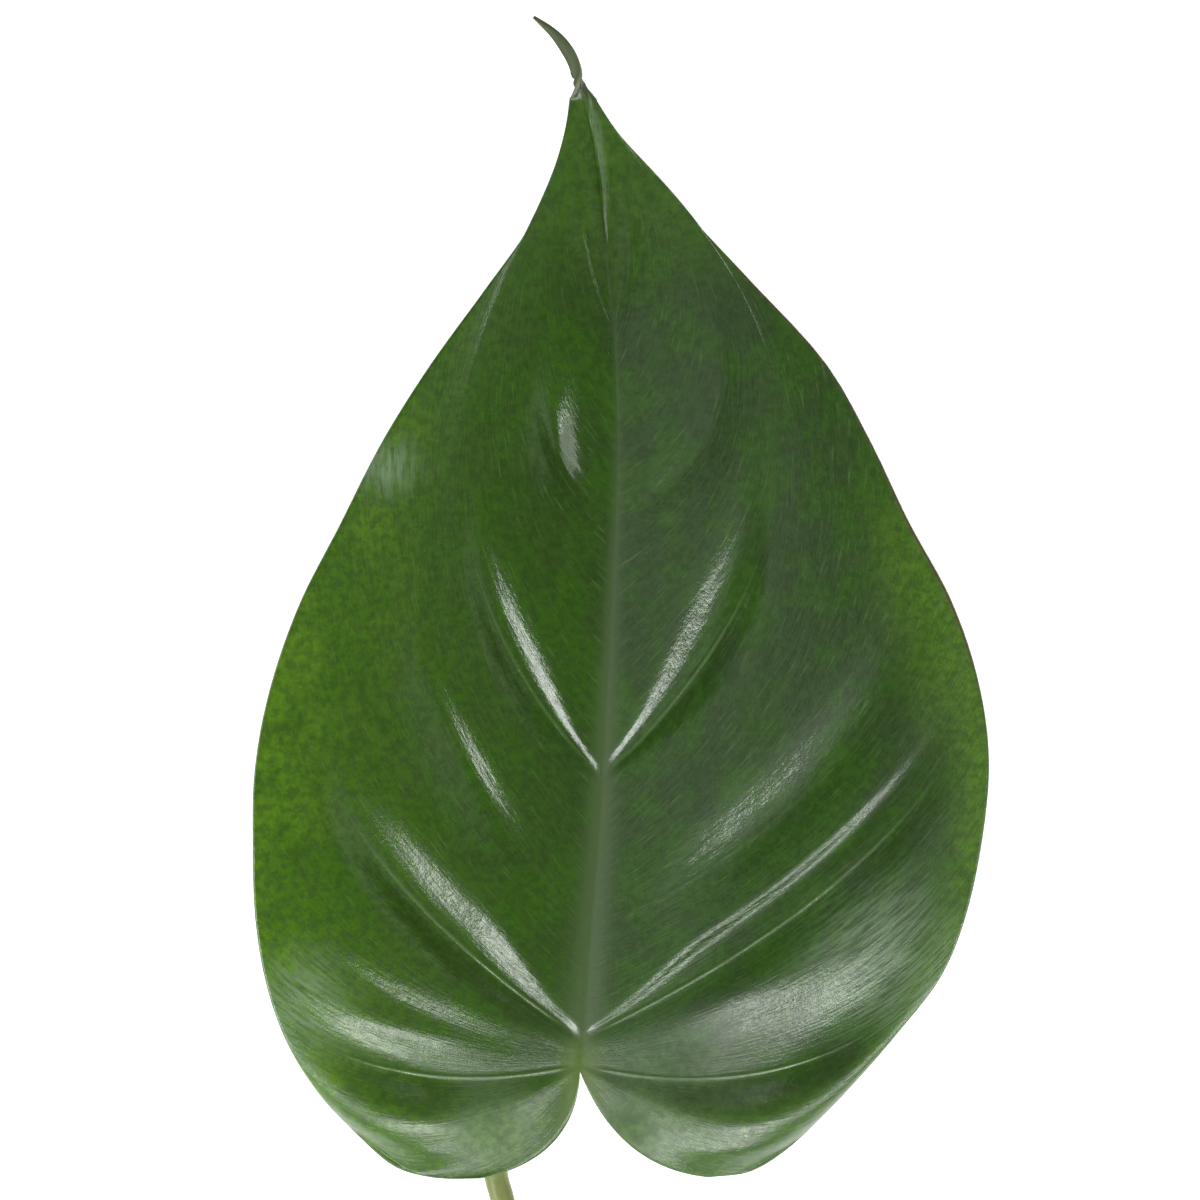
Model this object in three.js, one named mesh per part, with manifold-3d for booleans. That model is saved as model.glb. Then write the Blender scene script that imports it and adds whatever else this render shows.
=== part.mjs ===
// One leaf of a heart-leaved climbing philodendron, picked with its stalk and lying face up.
// Millimetres, +Z up, +Y from the stalk to the tip, on the plane z = 0.
// All points below are measured from the sinus, where the stalk meets the blade. The finished leaf
// is moved at the end so that its origin is under the middle of its bounding box.
import * as THREE from 'three';
import { mergeVertices } from 'three/addons/utils/BufferGeometryUtils.js';
import Module from 'manifold-3d';

const wasm = await Module();
wasm.setup();

const BLADE_THICKNESS = 0.6;
const STALK_RADIUS = 1.2;
const STALK_BASE_SWELL = 1.3; // the stalk's foot is this many times as thick
const STALK_GAP = 0.02; // between the stalk's top and the blade's underside

// The margin of each half from the lowest point of its lobe to the drip tip: x, y and the upper
// face's z. A z below the blade's thickness is where the margin rests on the surface.
const MARGIN = {
  left: [
    [-10.0, -11.6, 3.3], [-14.5, -11.7, 1.7], [-18.6, -10.7, 0.1], [-22.4, -7.5, 0.3],
    [-26.1, -3.5, 1.6], [-29.3, 1.6, 2.5], [-31.4, 7.3, 2.8], [-32.6, 14.0, 2.9],
    [-32.9, 21.5, 2.9], [-32.7, 29.5, 2.9], [-31.2, 37.5, 2.9], [-28.3, 45.9, 2.8],
    [-24.2, 54.0, 2.6], [-20.0, 62.3, 2.3], [-15.2, 70.0, 2.0], [-9.7, 77.6, 1.7],
    [-5.5, 83.5, 1.4], [-3.0, 88.5, 1.2], [-1.6, 93.5, 1.1], [-1.05, 97.3, 1.0],
  ],
  right: [
    [13.0, -11.65, 1.4], [17.0, -11.2, 0.2], [20.6, -9.1, 0.1], [24.0, -6.0, 0.9],
    [28.0, -1.7, 1.8], [32.0, 3.0, 2.5], [36.2, 8.5, 2.8], [38.7, 14.5, 2.9],
    [40.4, 22.3, 2.9], [41.1, 30.5, 2.9], [40.0, 38.5, 2.8], [37.3, 46.5, 2.7],
    [33.0, 54.5, 2.5], [29.2, 62.5, 2.2], [24.6, 70.5, 1.9], [17.3, 78.5, 1.6],
    [11.7, 84.5, 1.4], [7.5, 89.5, 1.2], [3.9, 93.5, 1.1], [1.7, 96.8, 1.0],
  ],
};

// Each rib line leaves the midrib and runs out to the margin in one bend. One row per line, from
// the sinus to the tip: where it starts (y on the midrib), then for each half the point that it
// bends towards (x, y) and the margin point at which it ends, counted along MARGIN.
const RIB_LINES = [
  { start: -0.7, left: [-0.3, -9.5, 0.0], right: [3.8, -10.5, 0.0] },
  { start: -0.4, left: [-15.0, -12.0, 3.55], right: [17.0, -12.5, 3.4] },
  { start: 0.0, left: [-19.1, -4.4, 5.6], right: [23.1, -5.7, 6.2] },
  { start: 0.9, left: [-23.8, 3.4, 7.8], right: [28.7, 3.2, 8.0] },
  { start: 2.6, left: [-27.6, 20.9, 10.6], right: [31.4, 17.1, 9.75] },
  { start: 13.5, left: [-19.1, 34.3, 12.8], right: [26.2, 23.2, 11.2] },
  { start: 28.6, left: [-22.3, 54.4, 16.4], right: [34.4, 59.4, 16.6] },
  { start: 54.5, left: [-9.9, 65.2, 17.9], right: [25.0, 66.0, 17.9] },
  { start: 73.0, left: [-1.8, 84.5, 18.5], right: [7.0, 84.5, 18.55] },
  { start: 88.0, left: [0.4, 92.5, 19.0], right: [2.1, 92.5, 19.0] },
];

// The midrib's line over the upper face: x, y, z.
const MIDRIB = [
  [0.0, -0.7, 5.3], [0.9, 12.0, 5.1], [1.9, 24.0, 4.8], [2.6, 36.0, 4.5], [3.2, 48.0, 4.1],
  [3.7, 60.0, 3.6], [3.5, 72.0, 2.8], [2.7, 82.0, 1.7], [2.0, 88.5, 0.7], [1.3, 93.0, 0.55],
  [0.33, 97.0, 1.0],
];

// The drip tip is a ribbon that carries on from the midrib, bends to the left and twists over.
// It is set out straight, with these half widths, and then laid along TIP_AXIS.
const TIP_START = 97.0;
const TIP_LENGTH = 10.0;
const TIP_TWIST = THREE.MathUtils.degToRad(165);
const TIP_HALF_WIDTHS = [0.6, 0.52, 0.6, 0.6, 0.42, 0.12];
const TIP_AXIS = [
  [0.33, 97.0, 0.7], [-0.05, 98.5, 1.0], [-0.4, 99.9, 1.4],
  [-1.1, 101.5, 1.75], [-2.55, 103.4, 2.0], [-4.7, 105.2, 2.1],
];
const TIP_ROWS = 9; // rows of the mesh along the ribbon

// How the rib lines come down from the midrib to the margin: steeply at first in the blade, and at
// first hardly at all in the lobes, which arch over and droop.
const BLADE_SETTLE = 0.9;
const LOBE_SETTLE = -0.5;

// The impressed veins of each half: the rib line that it follows, its depth, the width of its
// valley's side towards the tip and of its other side, the shares of the line at which it starts
// and ends, and how flat its floor is towards the tip (2 is round, more is flatter).
const VEINS = {
  left: [
    [1.0, 0.4, 1.8, 2.0, 0.6, 0.9, 2], [2.0, 1.3, 3.4, 2.2, 0.5, 0.9, 3],
    [3.0, 0.4, 1.4, 1.8, 0.3, 0.8, 2], [4.0, 1.5, 3.3, 2.0, 0.0, 0.7, 3],
    [5.0, 0.8, 2.0, 2.4, 0.35, 0.7, 2], [6.0, 0.9, 3.6, 2.0, 0.0, 0.5, 4],
    [7.0, 1.2, 2.7, 1.6, 0.3, 0.5, 2], [8.0, 0.2, 1.4, 1.4, 0.1, 0.7, 2],
  ],
  right: [
    [1.0, 0.4, 1.8, 2.0, 0.5, 0.9, 2], [2.0, 2.1, 7.5, 3.4, 0.3, 0.9, 3],
    [3.0, 0.2, 2.2, 1.8, 0.3, 0.95, 2], [4.0, 0.9, 2.9, 2.0, 0.0, 0.9, 6],
    [5.0, 1.1, 3.8, 2.4, 0.35, 0.95, 2], [6.0, 1.1, 4.7, 2.0, 0.0, 0.42, 5],
    [7.0, 0.4, 2.0, 2.0, 0.1, 0.7, 2], [8.0, 0.2, 1.4, 1.4, 0.1, 0.7, 2],
  ],
};
const VALLEY_ROOM = 1.1; // a side of a valley stays below this share of the rib lines' spacing
const VALLEY_START = 0.2; // a valley has this share of its width and depth at the midrib
const VALLEY_GROWTH = 12.0; // and is fully grown at this distance from it
const MIDRIB_CLEAR = 1.5; // the valleys grow in over this distance from the midrib

// Ribs that stand out of the underside.
const KEEL_DEPTH = 1.4; // under the midrib, at the sinus
const KEEL_HALF_WIDTH = 1.25;
const RIB_DEPTH = 0.4; // under an impressed vein, where it leaves the midrib
const RIB_HALF_WIDTH = 0.5;
const MIDRIB_RISE = 0.3; // of the midrib over the upper face
const BLADE_LENGTH = 98; // along which the keel tapers away

// The stalk's centre line: x, y, z. It leaves under the sinus, passes below the left lobe and
// lies on the surface from there to its cut end.
const STALK = [
  [-0.2, 1.6, 4.2], [-1.4, -0.5, 3.3], [-3.2, -3.0, 2.4], [-5.4, -5.8, 1.6], [-7.3, -8.6, 1.2],
  [-8.5, -10.8, 1.14], [-7.8, -14.0, 1.14], [-6.5, -19.5, 1.14], [-5.2, -27.0, 1.14],
  [-4.0, -34.5, 1.14], [-3.8, -42.0, 1.16], [-4.5, -48.5, 1.25], [-5.3, -53.5, 1.4],
];
const STALK_SIDES = 12;
const STALK_STEPS = 44;

// The mesh of the blade: how far apart its rows may be at the margin, the rows beside a vein as
// shares of a rib line's spacing, and its columns as shares of the way to the margin.
const ROW_STEP = 4.2;
const ROWS_BY_VEIN = [-0.35, -0.17, -0.07, 0, 0.07, 0.14, 0.22, 0.32, 0.5];
const CLOSEST_ROWS = 0.055;
const COLUMNS = [0, 0.02, 0.05, 0.1, 0.17, 0.26, 0.37, 0.49, 0.61, 0.73, 0.84, 0.925, 0.97, 1];

const smooth = (low, high, x) => THREE.MathUtils.smoothstep(x, low, high);

// A Catmull-Rom spline through rows of numbers, at place u, where row i is at u = i.
function spline(rows, u) {
  const last = rows.length - 1;
  const i = Math.min(Math.max(Math.floor(u), 0), last - 1);
  const w = u - i;
  const [a, b, c, d] = [i - 1, i, i + 1, i + 2].map((k) => rows[Math.min(Math.max(k, 0), last)]);
  return b.map((_, k) => {
    const into = (c[k] - a[k]) / 2;
    const out = (d[k] - b[k]) / 2;
    return b[k] + w * (into + w * (3 * (c[k] - b[k]) - 2 * into - out
      + w * (2 * (b[k] - c[k]) + into + out)));
  });
}

// The midrib at height y along the blade: x and z. Past its last point it runs on straight.
function midribAt(y) {
  const last = MIDRIB.length - 1;
  if (y >= MIDRIB[last][1]) return { x: MIDRIB[last][0], z: MIDRIB[last][2] };
  let low = 0;
  let high = last;
  for (let k = 0; k < 24; k += 1) {
    const middle = (low + high) / 2;
    if (spline(MIDRIB, middle)[1] < y) low = middle;
    else high = middle;
  }
  const [x, , z] = spline(MIDRIB, low);
  return { x, z };
}

const LAST_LINE = RIB_LINES.length - 1;
const [TIP_X, , TIP_Z] = MIDRIB[MIDRIB.length - 1];
const LINE_ROWS = {
  left: RIB_LINES.map(({ start, left }) => [start, ...left]),
  right: RIB_LINES.map(({ start, right }) => [start, ...right]),
};

// The rib line s of one half: its start, the point that it bends towards and its end. Lines past
// the last one belong to the drip tip, set out straight.
function lineAt(side, s) {
  if (s <= LAST_LINE) {
    const [start, bendX, bendY, place] = spline(LINE_ROWS[side], s);
    const [endX, endY, endZ] = spline(MARGIN[side], place);
    return { start, startX: midribAt(start).x, bendX, bendY, endX, endY, endZ };
  }
  const sign = side === 'left' ? -1 : 1;
  const reach = (s - LAST_LINE) / TIP_HALF_WIDTHS.length;
  const [half] = spline([[MARGIN[side].at(-1)[0] * sign], ...TIP_HALF_WIDTHS.map((w) => [w])],
    s - LAST_LINE);
  const endX = TIP_X + sign * (half - TIP_X * sign * (1 - Math.min(reach * 6, 1)));
  const endY = MARGIN[side].at(-1)[1] + (TIP_START + TIP_LENGTH - MARGIN[side].at(-1)[1]) * reach;
  const start = THREE.MathUtils.lerp(RIB_LINES[LAST_LINE].start, endY - 0.15, Math.sqrt(reach));
  const startX = midribAt(start).x;
  return {
    start, startX, bendX: (startX + endX) / 2, bendY: (start + endY) / 2, endX, endY, endZ: TIP_Z,
  };
}

// The place on the blade, seen from above, at share t of the way along a rib line.
function placeOn(line, t) {
  const [p, q, r] = [(1 - t) * (1 - t), 2 * t * (1 - t), t * t];
  return [
    p * line.startX + q * line.bendX + r * line.endX,
    p * line.start + q * line.bendY + r * line.endY,
  ];
}

// The upper face at rib line s and share t, before the drip tip is laid out: x, y, z and how far
// apart the rib lines are there.
function upperAt(side, s, t) {
  const line = lineAt(side, s);
  const [x, y] = placeOn(line, t);
  const step = 0.04;
  const [ax, ay] = placeOn(lineAt(side, s - step), t);
  const [bx, by] = placeOn(lineAt(side, s + step), t);
  const spacing = Math.hypot(bx - ax, by - ay) / (2 * step);
  const length = Math.hypot(line.endX - line.startX, line.endY - line.start);
  const { z: rootZ } = midribAt(line.start);

  const settle = THREE.MathUtils.lerp(LOBE_SETTLE, BLADE_SETTLE, smooth(1.2, 2.2, s));
  let z = THREE.MathUtils.lerp(rootZ, line.endZ, t + settle * t * (1 - t));
  const grown = THREE.MathUtils.lerp(VALLEY_START, 1, smooth(0, VALLEY_GROWTH, t * length));
  for (const [at, depth, above, below, from, to, power] of VEINS[side]) {
    const off = (s - at) * spacing;
    const crowding = Math.max(above, below) / (VALLEY_ROOM * spacing + 1e-9);
    const room = grown * (1 + crowding ** 4) ** -0.25;
    const u = Math.abs(off) / ((off > 0 ? above : below) * room + 1e-9);
    const fadeIn = smooth(0, MIDRIB_CLEAR, t * length) * smooth(0.3 * from, from + 0.01, t);
    const fadeOut = 1 - smooth(0.5 * to, to, t);
    z -= depth * room * fadeIn * fadeOut * Math.exp(-(u ** (off > 0 ? power : 2)) / 2);
  }
  const taper = Math.max(1 - Math.max(y, 0) / BLADE_LENGTH, 0);
  const across = (x - midribAt(y).x) / (KEEL_HALF_WIDTH * (0.25 + 0.75 * taper));
  const keel = Math.exp(-(across ** 2));
  z += MIDRIB_RISE * taper * keel;
  return { x, y, z, spacing, taper, keel };
}

// The two faces at one place: x, y, the upper z and the lower z. The blade is as thick as it
// should be across its slope, not straight down.
function facesAt(side, s, t) {
  const { x, y, z, spacing, taper, keel } = upperAt(side, s, t);
  const [ds, dt] = [s > 0.02 ? -0.02 : 0.02, t > 0.01 ? -0.01 : 0.01];
  const p = upperAt(side, s + ds, t);
  const q = upperAt(side, s, t + dt);
  const along = new THREE.Vector3(p.x - x, p.y - y, p.z - z);
  const out = new THREE.Vector3(q.x - x, q.y - y, q.z - z);
  const normal = along.cross(out);
  const flat = normal.lengthSq() > 1e-14 ? Math.abs(normal.normalize().z) : 1;
  const thickness = BLADE_THICKNESS / Math.max(flat, 0.75);

  let rib = 0;
  for (const [at, depth, , , , to] of VEINS[side]) {
    const off = ((s - at) * spacing) / RIB_HALF_WIDTH;
    const fade = 1 - smooth(0.3 * to, to, t);
    rib = Math.max(rib, RIB_DEPTH * smooth(0.2, 0.9, depth) * fade * Math.exp(-(off ** 2)));
  }
  let top = z;
  let bottom = z - thickness - Math.max(rib, (KEEL_DEPTH * taper + 0.1) * keel);
  // Where the leaf rests, its underside is pressed flat.
  if (y < TIP_START) {
    bottom = Math.max(bottom, 0);
    top = Math.max(top, bottom + BLADE_THICKNESS);
  }
  return { x, y, top, bottom };
}

// Lays a point of the straight drip tip along its bent and twisted axis.
function layTip(x, y, z) {
  if (y <= TIP_START) return new THREE.Vector3(x, y, z);
  const u = Math.min((y - TIP_START) / TIP_LENGTH, 1);
  const place = u * (TIP_AXIS.length - 1);
  const centre = new THREE.Vector3(...spline(TIP_AXIS, place));
  const ahead = new THREE.Vector3(...spline(TIP_AXIS, place - 0.02)).sub(centre).negate().normalize();
  const flat = new THREE.Vector3(ahead.y, -ahead.x, 0).normalize();
  const side = new THREE.Vector3(1, 0, 0).lerp(flat, smooth(0, 0.15, u));
  side.addScaledVector(ahead, -side.dot(ahead) * smooth(0, 0.15, u)).normalize();
  side.applyAxisAngle(ahead, TIP_TWIST * smooth(0, 0.5, u));
  const up = new THREE.Vector3().crossVectors(side, ahead).normalize();
  return centre.addScaledVector(side, x - TIP_X).addScaledVector(up, z - TIP_Z + BLADE_THICKNESS / 2);
}

// The rib lines at which the mesh has its rows: crowded beside the veins, and never too far apart
// at the margin.
function rowPlaces() {
  const wanted = new Set([0, LAST_LINE]);
  for (const [at] of [...VEINS.left, ...VEINS.right]) {
    for (const off of ROWS_BY_VEIN) wanted.add(at + off);
  }
  for (let k = 1; k <= TIP_ROWS; k += 1) {
    wanted.add(LAST_LINE + (k / TIP_ROWS) * TIP_HALF_WIDTHS.length);
  }
  const sorted = [...wanted].filter((s) => s >= 0).sort((a, b) => a - b);
  const apart = sorted.filter((s, k) => k === 0 || s - sorted[k - 1] > CLOSEST_ROWS);
  const rows = [apart[0]];
  for (const s of apart.slice(1)) {
    const from = rows[rows.length - 1];
    const gap = Math.max(...['left', 'right'].map((side) => {
      const [a, b] = [lineAt(side, from), lineAt(side, s)];
      return s > LAST_LINE ? 0 : Math.hypot(a.endX - b.endX, a.endY - b.endY);
    }));
    const parts = Math.max(Math.ceil(gap / ROW_STEP), 1);
    for (let k = 1; k <= parts; k += 1) rows.push(from + ((s - from) * k) / parts);
  }
  return rows;
}

// A closed solid from points and triangles. Points that fall together become one.
function solidOf(points, triangles) {
  const geometry = new THREE.BufferGeometry();
  geometry.setAttribute('position', new THREE.Float32BufferAttribute(points.flat(), 3));
  geometry.setIndex(triangles);
  const merged = mergeVertices(geometry, 1e-4);
  const index = [];
  const { array } = merged.index;
  for (let i = 0; i < array.length; i += 3) {
    const [a, b, c] = [array[i], array[i + 1], array[i + 2]];
    if (a !== b && b !== c && c !== a) index.push(a, b, c);
  }
  return new wasm.Manifold(new wasm.Mesh({
    numProp: 3,
    vertProperties: merged.attributes.position.array,
    triVerts: new Uint32Array(index),
  }));
}

function geometryOf(solid) {
  const { vertProperties, triVerts } = solid.getMesh();
  const geometry = new THREE.BufferGeometry();
  geometry.setAttribute('position', new THREE.BufferAttribute(vertProperties, 3));
  geometry.setIndex(new THREE.BufferAttribute(triVerts, 1));
  geometry.computeVertexNormals();
  return geometry;
}

// The blade: an upper and a lower face split alike, and a wall round the margin between them.
function makeBlade() {
  const rows = rowPlaces();
  const across = [
    ...[...COLUMNS].reverse().map((t) => ['left', t]),
    ...COLUMNS.slice(1).map((t) => ['right', t]),
  ];
  const points = [];
  for (const s of rows) {
    for (const [side, t] of across) {
      const { x, y, top, bottom } = facesAt(side, s, t);
      points.push(layTip(x, y, top).toArray(), layTip(x, y, bottom).toArray());
    }
  }
  const at = (row, column, face) => 2 * (row * across.length + column) + face;
  const triangles = [];
  const quad = (a, b, c, d) => triangles.push(a, b, c, a, c, d);
  for (let row = 0; row + 1 < rows.length; row += 1) {
    for (let column = 0; column + 1 < across.length; column += 1) {
      const corners = [[row, column], [row, column + 1], [row + 1, column + 1], [row + 1, column]];
      // The diagonal is mirrored between the halves, and the same on both faces.
      if (column < COLUMNS.length - 1) corners.push(corners.shift());
      const upper = corners.map(([r, c]) => at(r, c, 0));
      const lower = corners.map(([r, c]) => at(r, c, 1));
      quad(...upper);
      triangles.push(lower[0], lower[2], lower[1], lower[0], lower[3], lower[2]);
    }
  }
  const wall = (from, to) => quad(at(...to, 0), at(...from, 0), at(...from, 1), at(...to, 1));
  const lastRow = rows.length - 1;
  const lastColumn = across.length - 1;
  for (let column = 0; column < lastColumn; column += 1) {
    wall([0, column], [0, column + 1]);
    wall([lastRow, column + 1], [lastRow, column]);
  }
  for (let row = 0; row < lastRow; row += 1) {
    wall([row + 1, 0], [row, 0]);
    wall([row, lastColumn], [row + 1, lastColumn]);
  }
  return solidOf(points, triangles);
}

// The stalk: round rings along its centre line, a little swollen at the foot, flat below where it
// lies on the surface.
function makeStalk(blade) {
  const points = [];
  const triangles = [];
  const up = new THREE.Vector3(0, 0, 1);
  const last = STALK.length - 1;
  for (let k = 0; k <= STALK_STEPS; k += 1) {
    const u = (k / STALK_STEPS) * last;
    const centre = new THREE.Vector3(...spline(STALK, u));
    const ahead = new THREE.Vector3(...spline(STALK, u + 0.01)).sub(centre).normalize();
    const side = new THREE.Vector3().crossVectors(up, ahead).normalize();
    const over = new THREE.Vector3().crossVectors(ahead, side);
    const radius = STALK_RADIUS * THREE.MathUtils.lerp(1, STALK_BASE_SWELL, smooth(0.8, 1, u / last));
    for (let j = 0; j < STALK_SIDES; j += 1) {
      const angle = (2 * Math.PI * (j + 0.5)) / STALK_SIDES;
      const point = centre.clone()
        .addScaledVector(side, radius * Math.cos(angle))
        .addScaledVector(over, radius * Math.sin(angle));
      point.z = Math.max(point.z, 0);
      points.push(point.toArray());
    }
  }
  const at = (ring, j) => ring * STALK_SIDES + (j % STALK_SIDES);
  for (let ring = 0; ring < STALK_STEPS; ring += 1) {
    for (let j = 0; j < STALK_SIDES; j += 1) {
      const [a, b] = [at(ring, j), at(ring, j + 1)];
      const [c, d] = [at(ring + 1, j + 1), at(ring + 1, j)];
      triangles.push(a, b, c, a, c, d);
    }
  }
  for (let j = 1; j + 1 < STALK_SIDES; j += 1) {
    triangles.push(at(0, 0), at(0, j + 1), at(0, j));
    triangles.push(at(STALK_STEPS, 0), at(STALK_STEPS, j), at(STALK_STEPS, j + 1));
  }
  // Its top ends just under the blade: it is cut by the blade moved down by the gap, and the part
  // that is left over above is dropped.
  const cutter = blade.translate([0, 0, -STALK_GAP]);
  const pieces = solidOf(points, triangles).subtract(cutter).decompose();
  return pieces.sort((a, b) => b.volume() - a.volume())[0];
}

const bladeSolid = makeBlade();
const stalkSolid = makeStalk(bladeSolid);

const bladeMaterial = new THREE.MeshStandardMaterial({ color: '#3c6123', roughness: 0.4, metalness: 0 });
const stalkMaterial = new THREE.MeshStandardMaterial({ color: '#71793a', roughness: 0.5, metalness: 0 });

const blade = new THREE.Mesh(geometryOf(bladeSolid), bladeMaterial);
blade.name = 'leaf_blade';
const stalk = new THREE.Mesh(geometryOf(stalkSolid), stalkMaterial);
stalk.name = 'petiole';

const leaf = new THREE.Group();
leaf.add(blade, stalk);
const box = new THREE.Box3().setFromObject(leaf);
const middle = box.getCenter(new THREE.Vector3());
leaf.position.set(-middle.x, -middle.y, -box.min.z);

export default leaf;
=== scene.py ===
"""The look of a picked heart-leaved philodendron leaf that lies face up, seen from above.

The blade is drawn again as a finer mesh of the same form, with its upper face, underside and rim in
one piece, and the stalk as a finer tube. Lengths are in millimetres up to the last step.
"""
import math

import bpy
import numpy as np
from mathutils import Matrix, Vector

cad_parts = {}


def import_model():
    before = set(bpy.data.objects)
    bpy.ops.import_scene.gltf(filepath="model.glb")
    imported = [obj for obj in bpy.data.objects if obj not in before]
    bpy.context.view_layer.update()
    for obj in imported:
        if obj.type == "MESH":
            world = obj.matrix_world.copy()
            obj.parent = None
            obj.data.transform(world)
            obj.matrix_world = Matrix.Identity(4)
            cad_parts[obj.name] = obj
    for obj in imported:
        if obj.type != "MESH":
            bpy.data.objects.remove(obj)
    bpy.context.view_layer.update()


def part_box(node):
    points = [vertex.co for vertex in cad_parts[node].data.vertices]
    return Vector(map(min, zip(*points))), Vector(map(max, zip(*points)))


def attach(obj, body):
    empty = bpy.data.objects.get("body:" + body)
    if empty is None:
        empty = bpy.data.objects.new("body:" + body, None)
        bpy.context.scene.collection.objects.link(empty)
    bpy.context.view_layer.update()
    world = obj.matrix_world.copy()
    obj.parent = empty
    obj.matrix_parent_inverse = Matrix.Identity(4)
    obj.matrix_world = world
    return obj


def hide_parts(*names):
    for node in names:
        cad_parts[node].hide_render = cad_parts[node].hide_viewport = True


# The form, measured from the sinus where the stalk meets the blade: +x right, +y to the tip.
BLADE_THICKNESS = 0.6
RIM_ROUNDING = 0.13
MARGIN = {
    "left": np.array([
        [-10.0, -11.6, 3.3], [-14.5, -11.7, 1.7], [-18.6, -10.7, 0.1], [-22.4, -7.5, 0.3],
        [-26.1, -3.5, 1.6], [-29.3, 1.6, 2.5], [-31.4, 7.3, 2.8], [-32.6, 14.0, 2.9],
        [-32.9, 21.5, 2.9], [-32.7, 29.5, 2.9], [-31.2, 37.5, 2.9], [-28.3, 45.9, 2.8],
        [-24.2, 54.0, 2.6], [-20.0, 62.3, 2.3], [-15.2, 70.0, 2.0], [-9.7, 77.6, 1.7],
        [-5.5, 83.5, 1.4], [-3.0, 88.5, 1.2], [-1.6, 93.5, 1.1], [-1.05, 97.3, 1.0],
    ]),
    "right": np.array([
        [13.0, -11.65, 1.4], [17.0, -11.2, 0.2], [20.6, -9.1, 0.1], [24.0, -6.0, 0.9],
        [28.0, -1.7, 1.8], [32.0, 3.0, 2.5], [36.2, 8.5, 2.8], [38.7, 14.5, 2.9],
        [40.4, 22.3, 2.9], [41.1, 30.5, 2.9], [40.0, 38.5, 2.8], [37.3, 46.5, 2.7],
        [33.0, 54.5, 2.5], [29.2, 62.5, 2.2], [24.6, 70.5, 1.9], [17.3, 78.5, 1.6],
        [11.7, 84.5, 1.4], [7.5, 89.5, 1.2], [3.9, 93.5, 1.1], [1.7, 96.8, 1.0],
    ]),
}
# Rib lines: start on the midrib, the point that the line bends towards, its end on the margin.
RIB_LINES = {
    "left": np.array([
        [-0.7, -0.3, -9.5, 0.0], [-0.4, -15.0, -12.0, 3.55], [0.0, -19.1, -4.4, 5.6],
        [0.9, -23.8, 3.4, 7.8], [2.6, -27.6, 20.9, 10.6], [13.5, -19.1, 34.3, 12.8],
        [28.6, -22.3, 54.4, 16.4], [54.5, -9.9, 65.2, 17.9], [73.0, -1.8, 84.5, 18.5],
        [88.0, 0.4, 92.5, 19.0],
    ]),
    "right": np.array([
        [-0.7, 3.8, -10.5, 0.0], [-0.4, 17.0, -12.5, 3.4], [0.0, 23.1, -5.7, 6.2],
        [0.9, 28.7, 3.2, 8.0], [2.6, 31.4, 17.1, 9.75], [13.5, 26.2, 23.2, 11.2],
        [28.6, 34.4, 59.4, 16.6], [54.5, 25.0, 66.0, 17.9], [73.0, 7.0, 84.5, 18.55],
        [88.0, 2.1, 92.5, 19.0],
    ]),
}
MIDRIB = np.array([
    [0.0, -0.7, 5.3], [0.9, 12.0, 5.1], [1.9, 24.0, 4.8], [2.6, 36.0, 4.5], [3.2, 48.0, 4.1],
    [3.7, 60.0, 3.6], [3.5, 72.0, 2.8], [2.7, 82.0, 1.7], [2.0, 88.5, 0.7], [1.3, 93.0, 0.55],
    [0.33, 97.0, 1.0],
])
TIP_START = 97.0
TIP_LENGTH = 10.0
TIP_TWIST = math.radians(165)
TIP_HALF_WIDTHS = [0.6, 0.52, 0.6, 0.6, 0.42, 0.12]
TIP_LINES = len(TIP_HALF_WIDTHS)
TIP_LEAD = 0.15  # the midrib ends this far before the end of the drip tip
TIP_BENT = 0.15  # share of the drip tip over which it takes up its own direction
TIP_TWISTED = 0.5  # and its twist
TIP_AXIS = np.array([
    [0.33, 97.0, 0.7], [-0.05, 98.5, 1.0], [-0.4, 99.9, 1.4],
    [-1.1, 101.5, 1.75], [-2.55, 103.4, 2.0], [-4.7, 105.2, 2.1],
])
# How the height falls from the midrib to the margin: early above 0, late below 0, as a bulge.
BLADE_SETTLE = 0.9
LOBE_SETTLE = -0.8
LOBE_LINES = (1.2, 2.2)  # rib lines between which a lobe passes into the rest of the blade
# Veins: rib line, depth, width of the valley's wall towards the tip and of its other wall, start
# and end shares of the line, and the first wall's power: above 2, the floor is flatter.
VEINS = {
    "left": [
        [1.0, 0.4, 1.8, 2.0, 0.6, 0.9, 2], [2.0, 1.3, 3.4, 2.2, 0.5, 0.9, 3],
        [3.0, 0.4, 1.4, 1.8, 0.3, 0.8, 2], [4.0, 1.5, 2.9, 2.0, 0.0, 0.7, 2.5],
        [5.0, 0.7, 2.0, 2.4, 0.35, 0.7, 2], [6.0, 0.9, 3.1, 2.0, 0.0, 0.5, 3],
        [7.0, 1.2, 2.7, 1.6, 0.3, 0.5, 2], [8.0, 0.2, 1.4, 1.4, 0.1, 0.7, 2],
    ],
    "right": [
        [1.0, 0.4, 1.8, 2.0, 0.5, 0.9, 2], [2.0, 2.1, 7.5, 3.4, 0.3, 0.9, 3],
        [3.0, 0.2, 2.2, 1.8, 0.3, 0.95, 2], [4.0, 0.9, 2.9, 2.0, 0.0, 0.9, 6],
        [5.0, 1.1, 3.8, 2.4, 0.35, 0.95, 2], [6.0, 1.0, 5.4, 2.0, 0.0, 0.42, 5],
        [7.0, 0.4, 2.0, 2.0, 0.1, 0.7, 2], [8.0, 0.2, 1.4, 1.4, 0.1, 0.7, 2],
    ],
}
VALLEY_ROOM = 1.1  # a wall stays below this share of the rib lines' spacing
CROWDING_POWER = 4  # how late a wall starts to narrow where the rib lines crowd
VALLEY_START = 0.2  # a valley has this share of its width and depth at the midrib
VALLEY_GROWTH = 12.0  # and is fully grown at this distance from it
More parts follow.
